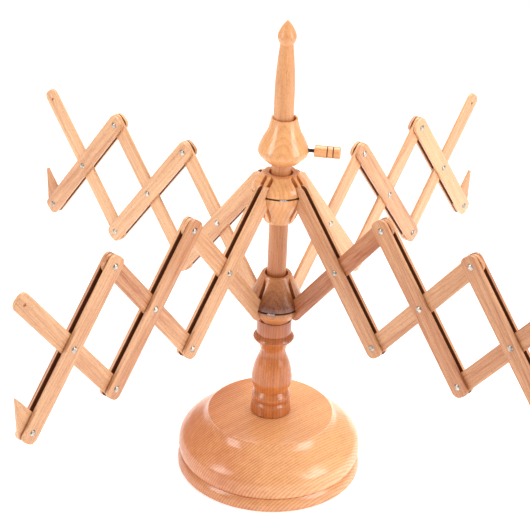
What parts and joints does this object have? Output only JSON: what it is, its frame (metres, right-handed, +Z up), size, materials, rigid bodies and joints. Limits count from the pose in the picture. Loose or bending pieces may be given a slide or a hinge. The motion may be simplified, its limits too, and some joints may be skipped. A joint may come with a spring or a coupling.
{
  "type": "yarn swift",
  "caption": "Tabletop umbrella yarn swift: turned wooden pedestal, spinning hubs and riveted lazy-tong arms that fold open to hold a skein, with a bulb collar and thumbscrew lock.",
  "frame": {"origin": "centre of the base's underside, which is the bottom centre of the bounding box", "axes": "+Z up the shaft; the four arms lie along +X, +Y, -X and -Y"},
  "size_m": [0.7078, 0.7078, 0.5068],
  "materials": {
    "base_beech": "satin lacquer",
    "turned_beech": "satin lacquer",
    "dark_beech": "satin lacquer",
    "slat_beech": "sanded, light satin",
    "bright_steel": "polished",
    "black_steel": "satin"
  },
  "bodies": {
    "stand": {"base_plate": "base_beech", "base_dome": "base_beech", "base_screw": "bright_steel", "column": "turned_beech", "shaft": "turned_beech"},
    "lower_hub": {"lower_hub": "dark_beech", "lower_wire": "bright_steel"},
    "upper_hub": {"upper_hub": "turned_beech", "upper_wire": "bright_steel"},
    "lock_collar": {"lock_collar": "turned_beech"},
    "thumbscrew": {"thumbscrew_rod": "black_steel", "thumbscrew_knob": "turned_beech"},
    "arm_a_single_1": {"arm_a_single_1": "slat_beech"},
    "arm_a_double_1": {"arm_a_double_1_front": "slat_beech", "arm_a_double_1_back": "slat_beech"},
    "arm_a_single_2": {"arm_a_single_2": "slat_beech"},
    "arm_a_double_2": {"arm_a_double_2_front": "slat_beech", "arm_a_double_2_back": "slat_beech"},
    "arm_a_single_3": {"arm_a_single_3": "slat_beech"},
    "arm_a_double_3": {"arm_a_double_3_front": "slat_beech", "arm_a_double_3_back": "slat_beech", "arm_a_cleat": "slat_beech"},
    "arm_b_single_1": {"arm_b_single_1": "slat_beech"},
    "arm_b_double_1": {"arm_b_double_1_front": "slat_beech", "arm_b_double_1_back": "slat_beech"},
    "arm_b_single_2": {"arm_b_single_2": "slat_beech"},
    "arm_b_double_2": {"arm_b_double_2_front": "slat_beech", "arm_b_double_2_back": "slat_beech"},
    "arm_b_single_3": {"arm_b_single_3": "slat_beech"},
    "arm_b_double_3": {"arm_b_double_3_front": "slat_beech", "arm_b_double_3_back": "slat_beech", "arm_b_cleat": "slat_beech"},
    "arm_c_single_1": {"arm_c_single_1": "slat_beech"},
    "arm_c_double_1": {"arm_c_double_1_front": "slat_beech", "arm_c_double_1_back": "slat_beech"},
    "arm_c_single_2": {"arm_c_single_2": "slat_beech"},
    "arm_c_double_2": {"arm_c_double_2_front": "slat_beech", "arm_c_double_2_back": "slat_beech"},
    "arm_c_single_3": {"arm_c_single_3": "slat_beech"},
    "arm_c_double_3": {"arm_c_double_3_front": "slat_beech", "arm_c_double_3_back": "slat_beech", "arm_c_cleat": "slat_beech"},
    "arm_d_single_1": {"arm_d_single_1": "slat_beech"},
    "arm_d_double_1": {"arm_d_double_1_front": "slat_beech", "arm_d_double_1_back": "slat_beech"},
    "arm_d_single_2": {"arm_d_single_2": "slat_beech"},
    "arm_d_double_2": {"arm_d_double_2_front": "slat_beech", "arm_d_double_2_back": "slat_beech"},
    "arm_d_single_3": {"arm_d_single_3": "slat_beech"},
    "arm_d_double_3": {"arm_d_double_3_front": "slat_beech", "arm_d_double_3_back": "slat_beech", "arm_d_cleat": "slat_beech"}
  },
  "joints": [
    {"name": "umbrella_spin", "type": "hinge", "parent": "stand", "child": "lower_hub", "pos_m": [0, 0, 0.1987], "axis": [0, 0, 1], "continuous": true},
    {"name": "arms_fold", "type": "hinge", "parent": "lower_hub", "child": "arm_a_single_1", "pos_m": [0.0279, 0, 0.1987], "axis": [0, -1, 0], "range_deg": [-26, 28]},
    {"name": "arm_a_double_1_on_single_1", "type": "hinge", "parent": "arm_a_single_1", "child": "arm_a_double_1", "pos_m": [0.0799, 0, 0.26384], "axis": [0, -1, 0], "range_deg": [-56.02, 52.02]},
    {"name": "arm_a_single_2_on_double_1", "type": "hinge", "parent": "arm_a_double_1", "child": "arm_a_single_2", "pos_m": [0.1319, 0, 0.1987], "axis": [0, -1, 0], "range_deg": [-52.02, 56.02]},
    {"name": "arm_a_double_2_on_single_1", "type": "hinge", "parent": "arm_a_single_1", "child": "arm_a_double_2", "pos_m": [0.1319, 0, 0.32898], "axis": [0, -1, 0], "range_deg": [-56.02, 52.02]},
    {"name": "arm_a_single_3_on_double_2", "type": "hinge", "parent": "arm_a_double_2", "child": "arm_a_single_3", "pos_m": [0.2359, 0, 0.1987], "axis": [0, -1, 0], "range_deg": [-52.02, 56.02]},
    {"name": "arm_a_double_3_on_single_2", "type": "hinge", "parent": "arm_a_single_2", "child": "arm_a_double_3", "pos_m": [0.2359, 0, 0.32898], "axis": [0, -1, 0], "range_deg": [-56.02, 52.02]},
    {"name": "arm_b_single_1_at_lower_hub", "type": "hinge", "parent": "lower_hub", "child": "arm_b_single_1", "pos_m": [0, 0.0279, 0.1987], "axis": [1, 0, 0], "range_deg": [-26.02, 28.02]},
    {"name": "arm_b_double_1_on_single_1", "type": "hinge", "parent": "arm_b_single_1", "child": "arm_b_double_1", "pos_m": [0, 0.0799, 0.26384], "axis": [1, 0, 0], "range_deg": [-56.02, 52.02]},
    {"name": "arm_b_single_2_on_double_1", "type": "hinge", "parent": "arm_b_double_1", "child": "arm_b_single_2", "pos_m": [0, 0.1319, 0.1987], "axis": [1, 0, 0], "range_deg": [-52.02, 56.02]},
    {"name": "arm_b_double_2_on_single_1", "type": "hinge", "parent": "arm_b_single_1", "child": "arm_b_double_2", "pos_m": [0, 0.1319, 0.32898], "axis": [1, 0, 0], "range_deg": [-56.02, 52.02]},
    {"name": "arm_b_single_3_on_double_2", "type": "hinge", "parent": "arm_b_double_2", "child": "arm_b_single_3", "pos_m": [0, 0.2359, 0.1987], "axis": [1, 0, 0], "range_deg": [-52.02, 56.02]},
    {"name": "arm_b_double_3_on_single_2", "type": "hinge", "parent": "arm_b_single_2", "child": "arm_b_double_3", "pos_m": [0, 0.2359, 0.32898], "axis": [1, 0, 0], "range_deg": [-56.02, 52.02]},
    {"name": "arm_c_single_1_at_lower_hub", "type": "hinge", "parent": "lower_hub", "child": "arm_c_single_1", "pos_m": [-0.0279, 0, 0.1987], "axis": [0, 1, 0], "range_deg": [-26.02, 28.02]},
    {"name": "arm_c_double_1_on_single_1", "type": "hinge", "parent": "arm_c_single_1", "child": "arm_c_double_1", "pos_m": [-0.0799, 0, 0.26384], "axis": [0, 1, 0], "range_deg": [-56.02, 52.02]},
    {"name": "arm_c_single_2_on_double_1", "type": "hinge", "parent": "arm_c_double_1", "child": "arm_c_single_2", "pos_m": [-0.1319, 0, 0.1987], "axis": [0, 1, 0], "range_deg": [-52.02, 56.02]},
    {"name": "arm_c_double_2_on_single_1", "type": "hinge", "parent": "arm_c_single_1", "child": "arm_c_double_2", "pos_m": [-0.1319, 0, 0.32898], "axis": [0, 1, 0], "range_deg": [-56.02, 52.02]},
    {"name": "arm_c_single_3_on_double_2", "type": "hinge", "parent": "arm_c_double_2", "child": "arm_c_single_3", "pos_m": [-0.2359, 0, 0.1987], "axis": [0, 1, 0], "range_deg": [-52.02, 56.02]},
    {"name": "arm_c_double_3_on_single_2", "type": "hinge", "parent": "arm_c_single_2", "child": "arm_c_double_3", "pos_m": [-0.2359, 0, 0.32898], "axis": [0, 1, 0], "range_deg": [-56.02, 52.02]},
    {"name": "arm_d_single_1_at_lower_hub", "type": "hinge", "parent": "lower_hub", "child": "arm_d_single_1", "pos_m": [0, -0.0279, 0.1987], "axis": [-1, 0, 0], "range_deg": [-26.02, 28.02]},
    {"name": "arm_d_double_1_on_single_1", "type": "hinge", "parent": "arm_d_single_1", "child": "arm_d_double_1", "pos_m": [0, -0.0799, 0.26384], "axis": [-1, 0, 0], "range_deg": [-56.02, 52.02]},
    {"name": "arm_d_single_2_on_double_1", "type": "hinge", "parent": "arm_d_double_1", "child": "arm_d_single_2", "pos_m": [0, -0.1319, 0.1987], "axis": [-1, 0, 0], "range_deg": [-52.02, 56.02]},
    {"name": "arm_d_double_2_on_single_1", "type": "hinge", "parent": "arm_d_single_1", "child": "arm_d_double_2", "pos_m": [0, -0.1319, 0.32898], "axis": [-1, 0, 0], "range_deg": [-56.02, 52.02]},
    {"name": "arm_d_single_3_on_double_2", "type": "hinge", "parent": "arm_d_double_2", "child": "arm_d_single_3", "pos_m": [0, -0.2359, 0.1987], "axis": [-1, 0, 0], "range_deg": [-52.02, 56.02]},
    {"name": "arm_d_double_3_on_single_2", "type": "hinge", "parent": "arm_d_single_2", "child": "arm_d_double_3", "pos_m": [0, -0.2359, 0.32898], "axis": [-1, 0, 0], "range_deg": [-56.02, 52.02]},
    {"name": "upper_hub_on_double_1", "type": "hinge", "parent": "arm_a_double_1", "child": "upper_hub", "pos_m": [0.0279, 0, 0.32898], "axis": [0, -1, 0], "range_deg": [-26.02, 28.02]},
    {"name": "collar_slide", "type": "slide", "parent": "stand", "child": "lock_collar", "axis": [0, 0, 1], "range_m": [-0.03087, 0.03324]},
    {"name": "thumbscrew_turn", "type": "hinge", "parent": "lock_collar", "child": "thumbscrew", "pos_m": [0.03355, 0.02179, 0.37358], "axis": [0.8387, 0.5446, 0], "range_deg": [0, 360]}
  ],
  "couplings": [
    {"joint": "arm_a_double_1_on_single_1", "follows": "arms_fold", "ratio": -2},
    {"joint": "arm_a_single_2_on_double_1", "follows": "arms_fold", "ratio": 2},
    {"joint": "arm_a_double_2_on_single_1", "follows": "arms_fold", "ratio": -2},
    {"joint": "arm_a_single_3_on_double_2", "follows": "arms_fold", "ratio": 2},
    {"joint": "arm_a_double_3_on_single_2", "follows": "arms_fold", "ratio": -2},
    {"joint": "arm_b_single_1_at_lower_hub", "follows": "arms_fold", "ratio": 1},
    {"joint": "arm_b_double_1_on_single_1", "follows": "arms_fold", "ratio": -2},
    {"joint": "arm_b_single_2_on_double_1", "follows": "arms_fold", "ratio": 2},
    {"joint": "arm_b_double_2_on_single_1", "follows": "arms_fold", "ratio": -2},
    {"joint": "arm_b_single_3_on_double_2", "follows": "arms_fold", "ratio": 2},
    {"joint": "arm_b_double_3_on_single_2", "follows": "arms_fold", "ratio": -2},
    {"joint": "arm_c_single_1_at_lower_hub", "follows": "arms_fold", "ratio": 1},
    {"joint": "arm_c_double_1_on_single_1", "follows": "arms_fold", "ratio": -2},
    {"joint": "arm_c_single_2_on_double_1", "follows": "arms_fold", "ratio": 2},
    {"joint": "arm_c_double_2_on_single_1", "follows": "arms_fold", "ratio": -2},
    {"joint": "arm_c_single_3_on_double_2", "follows": "arms_fold", "ratio": 2},
    {"joint": "arm_c_double_3_on_single_2", "follows": "arms_fold", "ratio": -2},
    {"joint": "arm_d_single_1_at_lower_hub", "follows": "arms_fold", "ratio": 1},
    {"joint": "arm_d_double_1_on_single_1", "follows": "arms_fold", "ratio": -2},
    {"joint": "arm_d_single_2_on_double_1", "follows": "arms_fold", "ratio": 2},
    {"joint": "arm_d_double_2_on_single_1", "follows": "arms_fold", "ratio": -2},
    {"joint": "arm_d_single_3_on_double_2", "follows": "arms_fold", "ratio": 2},
    {"joint": "arm_d_double_3_on_single_2", "follows": "arms_fold", "ratio": -2},
    {"joint": "upper_hub_on_double_1", "follows": "arms_fold", "ratio": 1},
    {"joint": "collar_slide", "follows": "arms_fold", "m_per_rad": 0.068}
  ]
}
